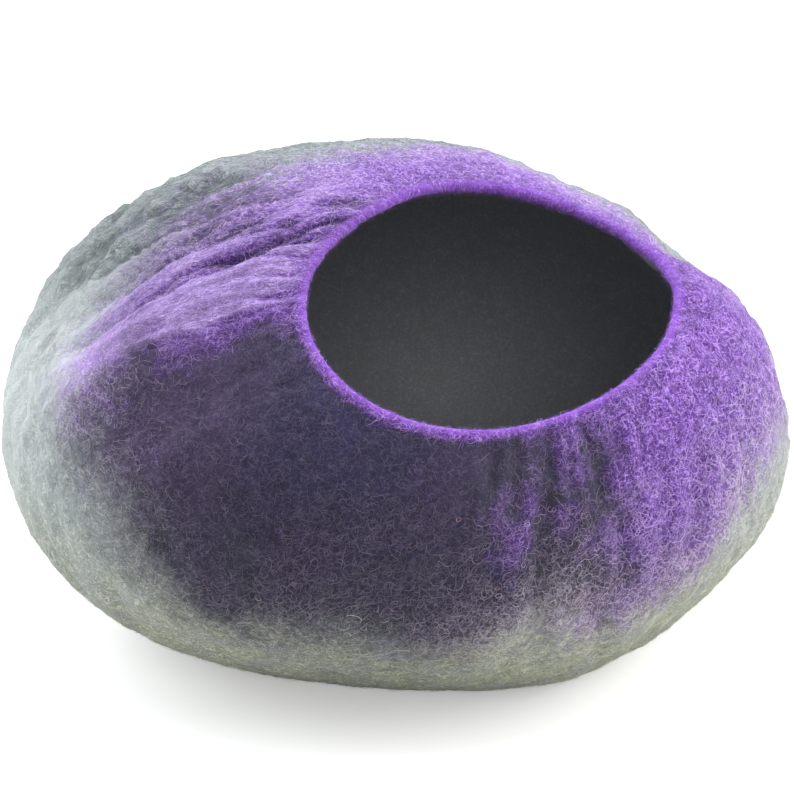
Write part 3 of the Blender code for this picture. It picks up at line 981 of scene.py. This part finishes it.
def strandPiece(name, material):
    kind = dict(zip(strandColumns, strandKinds[name]))
    rng = np.random.default_rng(kind["seed"])
    n, k = kind["count"], kind["points"]
    count = len(turns)
    cell = rootCells(kind, rng)
    v, u = (cell // count).astype(float) + rng.random(n), (cell % count).astype(float) + rng.random(n)
    step = rng.uniform(*kind["length"], n) / (k - 1)
    combed = sample(sheet["combed"], u, v)
    combWay = sample(sheet["combWay"], u, v)
    spread = kind["spread"][1] + (kind["spread"][0] - kind["spread"][1]) * combed
    heading = np.radians(rng.normal(0, loose["headingSpread"], n) * spread) + pi * rng.integers(0, 2, n)
    heading = heading + np.where(combed > loose["steered"], np.arctan2(combWay[:, 0], combWay[:, 1]), 0)
    bend = np.radians(rng.normal(0, kind["curl"], n))
    lift = rng.uniform(*kind["lift"], n)
    arch = rng.uniform(*loose["arch"], n)
    root = {key: sample(sheet[key], u, v) for key in ("streak", "comb", "combed") + woolShares}
    root["past"] = root["past"] + rng.normal(0, loose["past"], n)
    path, normals = [], []
    for i in range(k):
        normal = unit(sample(sheet["normals"], u, v))
        raised = lift * np.sin(pi * np.clip(i / (k - 1) * arch, 0, 1)) + loose["clear"]
        path.append(sample(sheet["points"], u, v) + normal * raised[:, None])
        normals.append(normal)
        u = u + np.sin(heading) * step / sample(acrossSize, u, v)
        v = v + np.cos(heading) * step / sample(downSize, u, v)
        heading = heading + bend + np.radians(rng.normal(0, kind["curl"] * loose["waver"], n))
    path, normals = np.stack(path, axis=1), np.stack(normals, axis=1)
    onward = unit(np.gradient(path, axis=1) + 1e-9)
    roll = rng.normal(0, loose["roll"], n)[:, None, None]
    side = unit(np.cross(onward, normals) + normals * roll)
    taper = atLeast(loose["tip"], np.sin(pi * np.linspace(*loose["taper"], k)))
    half = side * (rng.uniform(*kind["width"], n)[:, None] * taper / 2)[..., None]
    points = np.stack([path - half, path + half], axis=2)
    points[..., 2] = np.maximum(points[..., 2], loose["clear"])
    first = (np.arange(n) * 2 * k)[:, None] + 2 * np.arange(k - 1)[None, :]
    faces = np.stack([first, first + 1, first + 3, first + 2], axis=-1).reshape(-1, 4)
    piece = addMesh(name, points.reshape(-1, 3), faces, material)
    cells = int(np.ceil(np.sqrt(n)))
    strand, along, edge = np.meshgrid(np.arange(n), np.linspace(0.1, 0.9, k), (0.3, 0.7), indexing="ij")
    places = np.stack([strand % cells + edge, strand // cells + along], axis=-1).reshape(-1, 2) / cells
    addAtlas(piece.data, places[loopVertices(piece.data)])
    isPale = rng.random(n) < kind["pale"]
    root["tone"] = np.where(isPale, rng.uniform(*loose["paleTones"], n), rng.uniform(*loose["plainTones"], n))
    root["stray"] = loose["strayShare"] * (rng.random(n) < kind["stray"])
    for key, values in root.items():
        addValues(piece.data, key, np.repeat(values, 2 * k, axis=0))
    piece.data.shade_smooth()
    return piece


strandPieces = [strandPiece(name, looseWool) for name in strandKinds]
print("stage: loose strands,", sum(len(piece.data.polygons) for piece in strandPieces), "faces")
for piece in [feltSkinPiece] + strandPieces:
    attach(piece, "root")
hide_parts("felt_shell")

# Camera at the photo's angle, with a small shift for its framing.
camera = {
    "azimuth": -22.5,
    "elevation": 22.0,
    "distance": 1.6,
    "target": (0.0151, -0.0151, 0.15),
    "lens": 111.04,
    "shift": (-25 / 794, 4 / 794),
}


def addCamera():
    data = bpy.data.cameras.new("photoView")
    data.lens = camera["lens"]
    data.sensor_width = 36.0
    data.shift_x, data.shift_y = camera["shift"]
    data.clip_start, data.clip_end = 0.05, 60.0
    made = addObject("photoView", data)
    back = direction(camera["azimuth"], camera["elevation"])
    made.location = np.array(camera["target"]) + camera["distance"] * back
    made.rotation_euler = (radians(90 - camera["elevation"]), 0, radians(camera["azimuth"]))
    bpy.context.scene.camera = made


# Soft studio light: broad suns from above and behind, and a pale surround that is dimmer in front.
studio = {
    # azimuth and elevation that the light comes from, strength, angle across, colour
    "suns": {
        "overhead": (165, 77, 1.9, 45, (1.0, 1.0, 1.0)),
        "leftBack": (-128, 38, 2.4, 50, (0.95, 0.99, 1.0)),
        "rightSide": (68, 34, 3.2, 50, (1.0, 0.99, 0.98)),
        "frontFill": (-15, 32, 0.5, 30, (1.0, 1.0, 1.0)),
    },
    "surroundFront": (0.06, 0.06, 0.06),
    "surroundBack": (0.68, 0.69, 0.71),
    "floorGlow": (0.4, 0.4, 0.4),  # keeps its shadow pale
    "surroundSeen": (0.95, 0.95, 0.95),
    "floor": (0.8, 0.8, 0.8),
    "floorBounce": (0.62, 0.62, 0.62),  # what the felt gets back from it
    "floorSize": 30.0,
}


def addSun(name, azimuth, elevation, strength, angle, colour):
    data = bpy.data.lights.new(name, "SUN")
    data.energy, data.angle, data.color = strength, radians(angle), colour
    addObject(name, data).rotation_euler = (radians(90 - elevation), 0, radians(azimuth))


def addSurround():
    world = bpy.data.worlds.new("surround")
    bpy.context.scene.world = world
    world.use_nodes = True
    tree = world.node_tree
    toBack = put(tree, "ShaderNodeSeparateXYZ", {0: put(tree, "ShaderNodeTexCoord").outputs["Generated"]})
    lit = blendColours(tree, ease(tree, toBack.outputs["Y"], -0.6, 0.7),
                       studio["surroundFront"], studio["surroundBack"])
    seen = put(tree, "ShaderNodeLightPath").outputs["Is Camera Ray"]
    colour = blendColours(tree, seen, lit, studio["surroundSeen"])
    tree.links.new(colour, tree.nodes["Background"].inputs["Color"])


def addFloor():
    half = studio["floorSize"] / 2
    corners = [(-half, -half, 0), (half, -half, 0), (half, half, 0), (-half, half, 0)]
    material, tree, shader = principled("paper", 0.9)
    seen = put(tree, "ShaderNodeLightPath").outputs["Is Camera Ray"]
    colour = blendColours(tree, seen, studio["floorBounce"], studio["floor"])
    glow = blendColours(tree, seen, (0.0, 0.0, 0.0), studio["floorGlow"])
    tree.links.new(colour, shader.inputs["Base Color"])
    tree.links.new(glow, shader.inputs["Emission Color"])
    shader.inputs["Emission Strength"].default_value = 1.0
    floor = addMesh("paperFloor", corners, [(0, 1, 2, 3)], material)


addCamera()
for name, values in studio["suns"].items():
    addSun(name, *values)
addSurround()
addFloor()
bpy.context.scene.view_settings.view_transform = "Standard"
print("stage: camera, light and floor")
